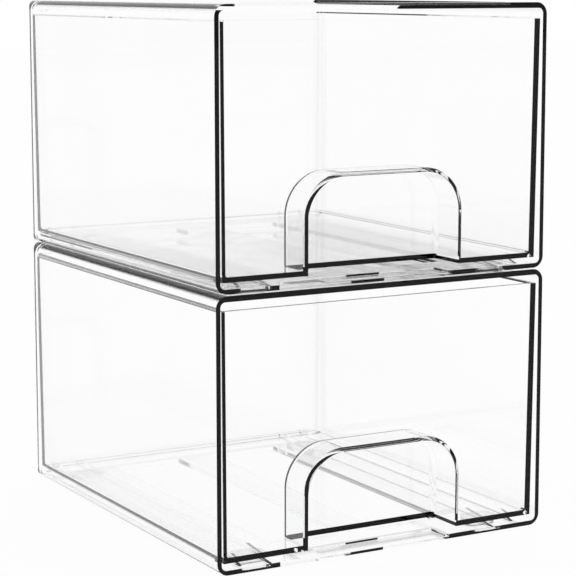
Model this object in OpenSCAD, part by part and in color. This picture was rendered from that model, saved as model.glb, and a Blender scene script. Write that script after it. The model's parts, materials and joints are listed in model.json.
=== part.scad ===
// Two stacked drawer boxes in clear plastic. Each unit is a case that is open at the front,
// a drawer with a finger recess in its front, and four soft pads under the case.
// X runs across the front, Y runs from the front to the back and Z is up.
// The origin lies under the middle of the footprint, on the surface that the pads stand on.

/* [Case] */
// Outer width of the case
case_w = 158; // [120:0.5:260]
// Outer depth of the case
case_d = 190; // [150:0.5:320]
// Height of the case from the bottom of its rim to the top
case_h = 112.7; // [80:0.1:220]
// Thickness of the two side walls
side_t = 2; // [1.6:0.1:3]
// Thickness of the back wall
back_t = 2; // [1.6:0.1:3]
// Thickness of the roof
roof_t = 2.4; // [2:0.1:3.4]
// Thickness of the floor
floor_t = 2; // [1.6:0.1:2.6]
// Outer radius of the long edges
edge_r = 5; // [3.6:0.1:5.4]
// Outer radius of the upright edges at the back
corner_r = 6; // [5.5:0.1:8]
// Inner radius of the long edges
inner_edge_r = 2.2; // [1.6:0.1:3.6]
// Inner radius of the upright edges at the back
inner_corner_r = 5.4; // [3.7:0.1:10]

/* [Stacking] */
// Depth of the seat sunk into the roof
seat_depth = 1.1; // [0.6:0.1:1.4]
// Width of the roof rim on each side of the seat
seat_side = 12; // [9:0.5:20]
// Width of the roof rim in front of the seat
seat_front = 10; // [7:0.5:20]
// Width of the roof rim behind the seat
seat_back = 15; // [8:0.5:30]
// Corner radius of the seat
seat_r = 4; // [1:0.5:8]
// Clearance between the pads and the front and back edges of the seat
pad_clear = 0.6; // [0.4:0.1:2]
// Clearance between the pads and the sides of the seat
pad_side_clear = 2.6; // [0.4:0.1:5]

/* [Pads] */
// Thickness of a pad
pad_t = 2.9; // [2.7:0.1:4]
// Depth of the pocket that a pad is stuck in
pocket_depth = 1.2; // [0.3:0.1:1.4]
// Clearance around a pad in its pocket
pocket_clear = 0.2; // [0.1:0.05:0.5]
// Width of a pad
pad_w = 14.4; // [7:0.2:24]
// Length of a pad, front to back
pad_l = 10; // [6:0.5:24]
// Corner radius of a pad
pad_r = 3; // [0.5:0.1:3]

/* [Floor windows] */
// Width across both windows in the floor
windows_w = 84; // [60:0.5:100]
// Width of the strip between the windows
strip_w = 16; // [8:0.5:30]
// Distance from the front rim to the windows
window_front = 24.5; // [14:0.5:40]
// Distance from the windows to the back of the case
window_back = 18; // [14:0.5:40]

/* [Rails] */
// Height of the rails above the floor of the case
rail_h = 2.1; // [1.5:0.1:4]
// Thickness of a rail
rail_t = 1.4; // [1:0.1:2.4]
// Distance between the two inner rails
inner_rail_gap = 108; // [90:0.5:112]
// Distance from a side wall to the outer rail beside it
outer_rail_inset = 10; // [4:0.5:14]
// Length of the slope at the front of an inner rail
ramp_l = 21; // [8:0.5:40]
// Distance from the front rim to the outer rails
outer_rail_start = 3; // [2:0.5:10]
// Length of the slope at the front of an outer rail
outer_ramp_l = 8; // [3:0.5:20]
// Width of the scoop in the front edge of the floor
scoop_w = 60; // [40:1:90]
// Depth of the scoop
scoop_depth = 0.8; // [0.2:0.1:1.2]
// Length of the scoop, front to back
scoop_l = 10.5; // [5:0.5:14]

/* [Drawer] */
// Clearance between the drawer and each side wall, at the top of the drawer
side_clear = 0.95; // [0.5:0.05:2]
// Clearance between the drawer and the rails
rail_clear = 0.3; // [0.3:0.05:0.6]
// Clearance between the drawer and the roof
roof_clear = 3.8; // [1:0.1:12]
// Distance from the front rim to the top of the drawer front
front_set = 0.65; // [0.3:0.05:2]
// Clearance between the drawer and the back wall, at the top of the drawer
back_clear = 1.6; // [0.8:0.1:6]
// Wall thickness of the drawer
drawer_t = 2; // [1.5:0.1:3]
// How much each wall of the drawer leans in from top to bottom
lean = 0.8; // [0.2:0.05:0.95]
// Outer radius of the upright edges at the back of the drawer, at the top
drawer_r = 1.2; // [1:0.1:5]
// Inner radius of the upright edges at the back of the drawer, at the top
drawer_inner_r = 1; // [1:0.1:6]
// Width of the bevel outside along the lower edges of the sides and the back
foot_bevel = 1.2; // [0.3:0.1:2.4]
// Distance from the front rim to the bevel outside
foot_bevel_start = 7; // [4:0.5:20]
// Width of the bevel inside along the lower edges of the sides and the back
inner_foot_bevel = 0.6; // [0.3:0.1:3]
// Width of the bevel inside along the upper edges of the sides and the back
rim_bevel = 0.6; // [0.2:0.1:1.2]

/* [Finger recess] */
// Width of the recess at the bottom of the drawer front
recess_w = 73; // [50:0.2:90]
// Height of the recess above the bottom of the drawer
recess_h = 39.3; // [25:0.1:60]
// Depth of the recess from the front rim
recess_d = 19.3; // [12:0.1:30]
// Radius of the two upper corners of the recess
recess_r = 17; // [6:0.5:20]
// Wall thickness of the recess
recess_t = 1.7; // [1:0.1:2.6]
// Outer radius of the edges at the back of the recess
recess_back_r = 3; // [2.7:0.1:4]

/* [Hidden] */
$fn = 96;
// The walls of a hollow pass this far through the surface that they open
over = 1;
// A rib starts this far inside the plate that it stands on
bite = 0.3;

stand = pad_t - pocket_depth;
pitch = case_h - seat_depth + stand;
seat_w = case_w - 2 * seat_side;
seat_d = case_d - seat_front - seat_back;
window_w = (windows_w - strip_w) / 2;
window_l = case_d - window_front - window_back;
pad_x = (seat_w - pad_w) / 2 - pad_side_clear;
pad_front_y = seat_front + pad_clear;
pad_back_y = case_d - seat_back - pad_clear - pad_l;
drawer_z = floor_t + rail_h + rail_clear;
drawer_h = case_h - roof_t - roof_clear - drawer_z;
drawer_w = case_w - 2 * side_t - 2 * side_clear;
drawer_back = case_d - back_t - back_clear;

// Flat outline, width w and length l from y = 0, with all four corners round
module round_rect(w, l, r) {
    translate([-w / 2 + r, 0]) square([w - 2 * r, l]);
    translate([-w / 2, r]) square([w, l - 2 * r]);
    for (x = [-w / 2 + r, w / 2 - r])
        for (y = [r, l - r]) translate([x, y]) circle(r);
}

// Side view of a block with a square front and two round corners at the back
module round_side(front, back, height, r) {
    translate([front, 0]) square([back - front - r, height]);
    translate([front, r]) square([back - front, height - 2 * r]);
    for (z = [r, height - r]) translate([back - r, z]) circle(r);
}

// Half of the upright section through a round back corner
module corner_section(height, r, r_corner) {
    square([r_corner - r, height]);
    translate([0, r]) square([r_corner, height - 2 * r]);
    for (z = [r, height - r]) intersection() {
        translate([r_corner - r, z]) circle(r);
        translate([r_corner - r, 0]) square([r, height]);
    }
}

// Block with round long edges, round upright edges at the back and sharp edges around its flat back
module outer_block(w, back, height, r, r_corner) {
    intersection() {
        translate([0, back, 0]) rotate([90, 0, 0]) linear_extrude(back) round_rect(w, height, r);
        translate([w / 2, 0, -over]) rotate([0, 0, 90]) linear_extrude(height + 2 * over)
            round_side(-over, back, w, r_corner);
    }
}

// Block with a flat front. All its edges are round but those at the front.
module inner_block(w, front, back, height, r, r_corner) {
    x_flat = w / 2 - r_corner;
    y_flat = back - r_corner;
    translate([0, y_flat, 0]) rotate([90, 0, 0]) linear_extrude(y_flat - front) round_rect(w, height, r);
    translate([-x_flat, 0, 0]) rotate([90, 0, 90]) linear_extrude(2 * x_flat)
        round_side(y_flat - 1, back, height, r);
    for (side = [-1, 1]) translate([side * x_flat, y_flat, 0])
        rotate_extrude() corner_section(height, r, r_corner);
}

module floor_windows() {
    for (side = [-1, 1])
        translate([side * (strip_w + window_w) / 2 - window_w / 2, window_front, -over])
            cube([window_w, window_l, floor_t + 2 * over]);
}

// One thin rail from y = start to the back wall, with a slope of length ramp at its front
module rail(x, start, ramp) {
    top = floor_t + rail_h;
    end = case_d - back_t / 2;
    bottom = floor_t - bite;
    translate([x - rail_t / 2, 0, 0]) rotate([90, 0, 90]) linear_extrude(rail_t)
        polygon([[start, bottom], [end, bottom], [end, top], [start + ramp, top], [start, floor_t]]);
}

module rails() {
    inner_x = (inner_rail_gap + rail_t) / 2;
    outer_x = case_w / 2 - side_t - outer_rail_inset;
    for (side = [-1, 1]) {
        rail(side * inner_x, 0, ramp_l);
        rail(side * outer_x, outer_rail_start, outer_ramp_l);
    }
}

module pad_pockets() {
    for (side = [-1, 1])
        for (y = [pad_front_y, pad_back_y])
            translate([side * pad_x, y - pocket_clear, -over]) linear_extrude(over + pocket_depth)
                round_rect(pad_w + 2 * pocket_clear, pad_l + 2 * pocket_clear, pad_r + pocket_clear);
}

module case_shell() {
    difference() {
        union() {
            difference() {
                outer_block(case_w, case_d, case_h, edge_r, corner_r);
                translate([0, 0, floor_t])
                    inner_block(case_w - 2 * side_t, -over, case_d - back_t, case_h - floor_t - roof_t,
                        inner_edge_r, inner_corner_r);
                floor_windows();
            }
            rails();
        }
        pad_pockets();
        translate([0, seat_front, case_h - seat_depth]) linear_extrude(seat_depth + over)
            round_rect(seat_w, seat_d, seat_r);
        translate([-scoop_w / 2, -over, floor_t - scoop_depth])
            cube([scoop_w, scoop_l + over, scoop_depth + over]);
    }
}

// Solid with leaning walls. The half width and the back grow by lean from z = 0 to z = h.
module leaning_block(w, front, back, h, r, grow) {
    x_flat = w / 2 - r;
    y_flat = back - r;
    r_foot = r - grow;
    intersection() {
        union() {
            translate([0, y_flat, 0]) rotate([90, 0, 0]) linear_extrude(y_flat - front + grow)
                polygon([[-x_flat - r_foot, 0], [x_flat + r_foot, 0], [x_flat + r, h], [-x_flat - r, h]]);
            translate([-x_flat, 0, 0]) rotate([90, 0, 90]) linear_extrude(2 * x_flat)
                polygon([[y_flat - 1, 0], [y_flat + r_foot, 0], [y_flat + r, h], [y_flat - 1, h]]);
            for (side = [-1, 1]) translate([side * x_flat, y_flat, 0]) cylinder(h, r_foot, r);
        }
        translate([-w, 0, 0]) rotate([90, 0, 90]) linear_extrude(2 * w)
            polygon([[front + grow, 0], [back + w, 0], [back + w, h], [front, h]]);
    }
}

// Rectangle with a round upper right corner
module one_round(x0, x1, y0, y1, r) {
    translate([x0, y0]) square([x1 - x0 - r, y1 - y0]);
    translate([x0, y0]) square([x1 - x0, y1 - y0 - r]);
    translate([x1 - r, y1 - r]) circle(r);
}

// Block in the shape of the recess, grown on every side, with round edges at the back
module recess_block(grow, bottom, edge) {
    half = recess_w / 2 + grow;
    top = recess_h + grow;
    r = recess_r + grow;
    back = recess_d + grow;
    translate([half, 0, bottom]) rotate([0, 0, 90]) linear_extrude(top - r - bottom)
        round_side(-over, back, 2 * half, edge);
    translate([-half + r, 0, 0]) rotate([90, 0, 90]) linear_extrude(2 * (half - r))
        one_round(-over, back, bottom, top, edge);
    for (side = [-1, 1]) translate([side * (half - r), 0, top - r]) rotate([-90, 0, 0])
        rotate_extrude() one_round(0, r, -over, back, edge);
}

// Wedges that bevel the lower side edges from y = front on, and the lower back edge
module foot_wedges(half, front, back, bottom, bevel) {
    low = bottom - over;
    high = bottom + bevel + over;
    for (side = [0, 1]) mirror([side, 0, 0]) translate([0, back + over, 0]) rotate([90, 0, 0])
        linear_extrude(back + over - front)
            polygon([[half - bevel - over, low], [half + over, low], [half + over, high]]);
    translate([-half - over, 0, 0]) rotate([90, 0, 90]) linear_extrude(2 * (half + over))
        polygon([[back - bevel - over, low], [back + over, low], [back + over, high]]);
}

// Funnel that bevels the upper inner edges of the sides and the back
module rim_funnel(half, front, back, top, bevel) {
    low = top - bevel - over;
    high = top + over;
    wide = bevel + over;
    intersection() {
        translate([0, back + wide, 0]) rotate([90, 0, 0]) linear_extrude(back + wide - front)
            polygon([[over - half, low], [half - over, low], [half + wide, high], [-half - wide, high]]);
        translate([-half - wide, 0, 0]) rotate([90, 0, 90]) linear_extrude(2 * (half + wide))
            polygon([[front, low], [back - over, low], [back + wide, high], [front, high]]);
    }
}

module drawer_tub() {
    half = drawer_w / 2;
    inner_half = half - drawer_t;
    inner_front = front_set + drawer_t;
    inner_back = drawer_back - drawer_t;
    difference() {
        leaning_block(2 * half, front_set, drawer_back, drawer_h, drawer_r, lean);
        foot_wedges(half - lean, foot_bevel_start, drawer_back - lean, 0, foot_bevel);
        difference() {
            translate([0, 0, drawer_t])
                leaning_block(2 * inner_half, inner_front, inner_back, drawer_h, drawer_inner_r, lean);
            recess_block(recess_t, 0, recess_back_r);
            foot_wedges(inner_half - lean, 0, inner_back - lean, drawer_t, inner_foot_bevel);
        }
        rim_funnel(inner_half, inner_front + rim_bevel, inner_back, drawer_h, rim_bevel);
        recess_block(0, -over, recess_back_r - recess_t);
    }
}

module at_level(level) {
    translate([0, -case_d / 2, stand + level * pitch]) children();
}

module case(level) {
    color([0.93, 0.94, 0.95, 0.35]) at_level(level) case_shell();
}

module drawer(level) {
    color([0.95, 0.96, 0.97, 0.35]) at_level(level) translate([0, 0, drawer_z]) drawer_tub();
}

// Pad under the floor of a case. side is -1 for left and 1 for right.
module pad(level, side, y) {
    color([0.85, 0.86, 0.87, 0.6]) at_level(level)
        translate([side * pad_x, y, -stand]) linear_extrude(pad_t) round_rect(pad_w, pad_l, pad_r);
}

case(0);  // lower_case
drawer(0);  // lower_drawer
pad(0, -1, pad_front_y);  // lower_pad_front_left
pad(0, 1, pad_front_y);  // lower_pad_front_right
pad(0, -1, pad_back_y);  // lower_pad_back_left
pad(0, 1, pad_back_y);  // lower_pad_back_right
case(1);  // upper_case
drawer(1);  // upper_drawer
pad(1, -1, pad_front_y);  // upper_pad_front_left
pad(1, 1, pad_front_y);  // upper_pad_front_right
pad(1, -1, pad_back_y);  // upper_pad_back_left
pad(1, 1, pad_back_y);  // upper_pad_back_right
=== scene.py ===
import json
import math

import bpy
from mathutils import Vector
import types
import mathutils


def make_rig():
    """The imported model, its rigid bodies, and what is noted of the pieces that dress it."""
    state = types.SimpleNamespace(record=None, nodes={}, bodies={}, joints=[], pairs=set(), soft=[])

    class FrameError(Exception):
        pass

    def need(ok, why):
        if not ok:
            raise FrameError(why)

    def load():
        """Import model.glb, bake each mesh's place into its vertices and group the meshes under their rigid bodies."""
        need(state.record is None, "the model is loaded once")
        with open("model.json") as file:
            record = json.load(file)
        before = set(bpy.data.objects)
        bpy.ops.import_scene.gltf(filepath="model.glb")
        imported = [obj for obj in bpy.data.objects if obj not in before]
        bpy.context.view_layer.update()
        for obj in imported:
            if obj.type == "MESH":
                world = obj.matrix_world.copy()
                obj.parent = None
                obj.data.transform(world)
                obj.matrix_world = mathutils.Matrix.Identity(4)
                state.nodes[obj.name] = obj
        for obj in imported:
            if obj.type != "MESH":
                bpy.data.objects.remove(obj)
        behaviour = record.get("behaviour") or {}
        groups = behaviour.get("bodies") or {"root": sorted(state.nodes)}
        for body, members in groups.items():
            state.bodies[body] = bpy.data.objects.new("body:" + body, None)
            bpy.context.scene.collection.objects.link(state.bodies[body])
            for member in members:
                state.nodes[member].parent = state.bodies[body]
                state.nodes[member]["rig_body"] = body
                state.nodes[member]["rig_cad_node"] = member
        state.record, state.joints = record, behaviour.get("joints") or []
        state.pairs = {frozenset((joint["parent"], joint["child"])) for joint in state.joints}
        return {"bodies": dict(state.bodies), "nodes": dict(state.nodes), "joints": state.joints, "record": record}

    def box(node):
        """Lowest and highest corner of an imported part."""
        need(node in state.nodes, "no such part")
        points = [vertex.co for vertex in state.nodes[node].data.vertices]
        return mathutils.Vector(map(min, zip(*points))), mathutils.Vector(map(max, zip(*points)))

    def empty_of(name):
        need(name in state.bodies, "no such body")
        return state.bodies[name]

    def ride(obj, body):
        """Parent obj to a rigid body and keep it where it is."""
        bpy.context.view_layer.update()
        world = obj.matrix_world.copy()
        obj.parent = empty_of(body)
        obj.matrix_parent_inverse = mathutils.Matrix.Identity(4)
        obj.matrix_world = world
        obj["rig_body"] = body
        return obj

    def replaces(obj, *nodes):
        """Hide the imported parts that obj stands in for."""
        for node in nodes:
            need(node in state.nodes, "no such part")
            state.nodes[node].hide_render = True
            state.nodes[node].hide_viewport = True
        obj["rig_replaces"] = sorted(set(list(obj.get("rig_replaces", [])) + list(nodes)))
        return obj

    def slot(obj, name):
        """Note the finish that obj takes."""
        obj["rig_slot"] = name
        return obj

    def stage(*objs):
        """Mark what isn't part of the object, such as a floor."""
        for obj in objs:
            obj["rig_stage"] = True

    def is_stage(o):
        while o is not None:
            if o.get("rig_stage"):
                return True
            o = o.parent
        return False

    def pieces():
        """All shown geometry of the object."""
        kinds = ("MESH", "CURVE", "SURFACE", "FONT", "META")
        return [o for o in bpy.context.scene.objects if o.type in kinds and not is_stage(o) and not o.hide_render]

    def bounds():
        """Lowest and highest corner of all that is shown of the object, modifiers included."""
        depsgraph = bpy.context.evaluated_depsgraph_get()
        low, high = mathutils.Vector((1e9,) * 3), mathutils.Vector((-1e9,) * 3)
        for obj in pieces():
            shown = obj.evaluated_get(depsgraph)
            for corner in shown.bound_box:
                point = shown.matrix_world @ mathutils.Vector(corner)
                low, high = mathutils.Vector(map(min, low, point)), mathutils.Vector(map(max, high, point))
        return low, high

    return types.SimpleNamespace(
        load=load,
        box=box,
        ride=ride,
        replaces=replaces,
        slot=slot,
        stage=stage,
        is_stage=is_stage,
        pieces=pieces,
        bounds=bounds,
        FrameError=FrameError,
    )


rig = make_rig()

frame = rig.load()


def write_size():
    path = "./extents.json"
    low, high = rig.bounds()
    sizes.append([list(low), list(high)])
    with open(path, "w") as f:
        json.dump(sizes, f)


sizes = []
bpy.context.view_layer.update()
write_size()

# ---------------------------------------------------------------- looks, in metres and shares of 1
# The pads are drawn this much smaller than their solids, so that no two clear faces coincide
PAD_SHRINK = 0.00002
PLASTIC_IOR = 1.49
PLASTIC_GLOSS = 0.4
RUBBER_IOR = 1.41
RUBBER_GLOSS = 0.6
RUBBER_ROUGHNESS = 0.12

FLOOR_HALF = 6.0
FLOOR_TONE = (0.97, 0.97, 0.97, 1.0)
FLOOR_ROUGHNESS = 0.9
FLOOR_GLOSS = 0.2
# Part of the floor's look that is plain white. The rest is lit and carries the shadow.
FLOOR_GLOW = 0.97

WHITE = (1.0, 1.0, 1.0, 1.0)
# Direction from the object toward the camera, and the brightness of the surroundings there
AWAY = (-0.49, -0.86, 0.13)
SKY_FRONT = 0.5
# How far a direction points along AWAY where the surroundings start and end their fall to SKY_FRONT
FALL_START = -0.2
FALL_END = 0.7

# Light passes up to this many faces of the clear walls. Mirroring inside a wall keeps Blender's own
# lower limit, which draws the dark rims.
CLEAR_FACES = 16

# The photograph's camera, worked out from the edges of the two boxes. The picture is PICTURE pixels
# wide and high, FOCAL is in those pixels, and CENTRE is where the camera's axis meets the picture.
PICTURE = 576
FOCAL = 1965.19
CENTRE = (300.89, 258.57)
CAMERA_PLACE = (-0.42793, -0.76629, 0.23518)
AZIMUTH = math.radians(-29.977)
ELEVATION = math.radians(7.950)
SENSOR_MM = 36.0


# ---------------------------------------------------------------- materials
def new_material(name):
    mat = bpy.data.materials.new(name)
    mat.use_nodes = True
    tree = mat.node_tree
    tree.nodes.clear()
    return mat, tree


def clear_plastic(name, tint_a, tint_b, scale, roughness, ior, gloss):
    """Clear moulded plastic. A soft noise moves the tint between two nearly white colours.

    A gloss below 1 lowers what the surface mirrors and passes that light through instead.
    """
    mat, tree = new_material(name)
    nodes, link = tree.nodes, tree.links.new
    out = nodes.new("ShaderNodeOutputMaterial")
    shader = nodes.new("ShaderNodeBsdfPrincipled")
    coord = nodes.new("ShaderNodeTexCoord")
    noise = nodes.new("ShaderNodeTexNoise")
    ramp = nodes.new("ShaderNodeValToRGB")
    noise.inputs["Scale"].default_value = scale
    noise.inputs["Detail"].default_value = 2.0
    ramp.color_ramp.elements[0].position = 0.35
    ramp.color_ramp.elements[1].position = 0.65
    ramp.color_ramp.elements[0].color = (*tint_a, 1.0)
    ramp.color_ramp.elements[1].color = (*tint_b, 1.0)
    shader.inputs["Roughness"].default_value = roughness
    shader.inputs["IOR"].default_value = ior
    shader.inputs["Transmission Weight"].default_value = 1.0
    shader.inputs["Specular Tint"].default_value = (gloss, gloss, gloss, 1.0)
    link(coord.outputs["Object"], noise.inputs["Vector"])
    link(noise.outputs["Fac"], ramp.inputs["Fac"])
    link(ramp.outputs["Color"], shader.inputs["Base Color"])
    link(shader.outputs["BSDF"], out.inputs["Surface"])
    return mat


case_plastic = clear_plastic(
    "case_plastic", tint_a=(0.992, 0.993, 0.993), tint_b=(0.999, 0.999, 0.999), scale=18.0,
    roughness=0.0, ior=PLASTIC_IOR, gloss=PLASTIC_GLOSS,
)
drawer_plastic = clear_plastic(
    "drawer_plastic", tint_a=(0.993, 0.994, 0.994), tint_b=(0.999, 0.999, 0.999), scale=22.0,
    roughness=0.0, ior=PLASTIC_IOR, gloss=PLASTIC_GLOSS,
)
pad_rubber = clear_plastic(
    "pad_rubber", tint_a=(0.93, 0.93, 0.93), tint_b=(0.97, 0.97, 0.97), scale=60.0,
    roughness=RUBBER_ROUGHNESS, ior=RUBBER_IOR, gloss=RUBBER_GLOSS,
)


# ---------------------------------------------------------------- pieces
def moulding(node, body, material, slot, shrink=0.0):
    """Adds a copy of a CAD node, with the normals it was imported with, that rides on its body."""
    mesh = frame["nodes"][node].data.copy()
    mesh.name = node + "_skin"
    mesh.materials.clear()
    mesh.materials.append(material)
    if shrink:
        low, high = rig.box(node)
        mid = (low + high) / 2
        for vert in mesh.vertices:
            for axis in range(3):
                side = 1 if vert.co[axis] > mid[axis] else -1
                vert.co[axis] -= side * shrink
    obj = bpy.data.objects.new(node + "_skin", mesh)
    bpy.context.collection.objects.link(obj)
    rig.ride(obj, body)
    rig.replaces(obj, node)
    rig.slot(obj, slot)


for level in ("lower", "upper"):
    case = level + "_case"
    drawer = level + "_drawer"
    moulding(case, case, case_plastic, "case")
    moulding(drawer, drawer, drawer_plastic, "drawer")
    for place in ("front_left", "front_right", "back_left", "back_right"):
        moulding(f"{level}_pad_{place}", case, pad_rubber, "pad", PAD_SHRINK)


# ---------------------------------------------------------------- floor and light
def seen_ray(tree):
    """1 for camera, mirror and glass rays, and 0 for the rays that only carry light."""
    path = tree.nodes.new("ShaderNodeLightPath")
    last = path.outputs["Is Camera Ray"]
    for kind in ("Is Glossy Ray", "Is Transmission Ray"):
        larger = tree.nodes.new("ShaderNodeMath")
        larger.operation = "MAXIMUM"
        tree.links.new(last, larger.inputs[0])
        tree.links.new(path.outputs[kind], larger.inputs[1])
        last = larger.outputs[0]
    return last


def floor_material(name):
    """Pale matt floor that is plain white to the eye and keeps a soft shadow."""
    mat, tree = new_material(name)
    nodes, link = tree.nodes, tree.links.new
    out = nodes.new("ShaderNodeOutputMaterial")
    matt = nodes.new("ShaderNodeBsdfPrincipled")
    glow = nodes.new("ShaderNodeEmission")
    mix = nodes.new("ShaderNodeMixShader")
    share = nodes.new("ShaderNodeMath")
    share.operation = "MULTIPLY"
    share.inputs[1].default_value = FLOOR_GLOW
    matt.inputs["Base Color"].default_value = FLOOR_TONE
    matt.inputs["Roughness"].default_value = FLOOR_ROUGHNESS
    matt.inputs["Specular IOR Level"].default_value = FLOOR_GLOSS
    glow.inputs["Strength"].default_value = 1.0
    link(seen_ray(tree), share.inputs[0])
    link(share.outputs[0], mix.inputs["Fac"])
    link(matt.outputs["BSDF"], mix.inputs[1])
    link(glow.outputs["Emission"], mix.inputs[2])
    link(mix.outputs["Shader"], out.inputs["Surface"])
    return mat


def add_floor():
    """A square floor under the part, with its middle at the origin."""
    corners = [(x * FLOOR_HALF, y * FLOOR_HALF, 0) for x, y in ((-1, -1), (1, -1), (1, 1), (-1, 1))]
    mesh = bpy.data.meshes.new("floor")
    mesh.from_pydata(corners, [], [(0, 1, 2, 3)])
    mesh.materials.append(floor_material("floor_white"))
    floor = bpy.data.objects.new("floor", mesh)
    bpy.context.collection.objects.link(floor)
    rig.stage(floor)


def studio_world():
    """Soft white surroundings that fall to grey on the side behind the camera."""
    world = bpy.data.worlds.new("studio")
    world.use_nodes = True
    tree = world.node_tree
    tree.nodes.clear()
    nodes, link = tree.nodes, tree.links.new
    out = nodes.new("ShaderNodeOutputWorld")
    sky = nodes.new("ShaderNodeBackground")
    coord = nodes.new("ShaderNodeTexCoord")
    along = nodes.new("ShaderNodeVectorMath")
    fade = nodes.new("ShaderNodeMapRange")
    along.operation = "DOT_PRODUCT"
    along.inputs[1].default_value = AWAY
    fade.inputs["From Min"].default_value = FALL_START
    fade.inputs["From Max"].default_value = FALL_END
    fade.inputs["To Min"].default_value = 1.0
    fade.inputs["To Max"].default_value = SKY_FRONT
    sky.inputs["Color"].default_value = WHITE
    link(coord.outputs["Generated"], along.inputs[0])
    link(along.outputs["Value"], fade.inputs["Value"])
    link(fade.outputs["Result"], sky.inputs["Strength"])
    link(sky.outputs["Background"], out.inputs["Surface"])
    bpy.context.scene.world = world


add_floor()
studio_world()


# ---------------------------------------------------------------- camera
def add_camera():
    data = bpy.data.cameras.new("camera")
    data.sensor_width = SENSOR_MM
    data.lens = FOCAL * SENSOR_MM / PICTURE
    data.shift_x = (PICTURE / 2 - CENTRE[0]) / PICTURE
    data.shift_y = (CENTRE[1] - PICTURE / 2) / PICTURE
    data.clip_end = 50.0
    camera = bpy.data.objects.new("camera", data)
    bpy.context.collection.objects.link(camera)
    toward = Vector((
        -math.sin(AZIMUTH) * math.cos(ELEVATION),
        math.cos(AZIMUTH) * math.cos(ELEVATION),
        -math.sin(ELEVATION),
    ))
    camera.location = CAMERA_PLACE
    camera.rotation_euler = toward.to_track_quat("-Z", "Y").to_euler()
    return camera


scene = bpy.context.scene
scene.camera = add_camera()
scene.view_settings.view_transform = "Standard"
scene.cycles.max_bounces = CLEAR_FACES
scene.cycles.transmission_bounces = CLEAR_FACES

bpy.context.view_layer.update()
write_size()
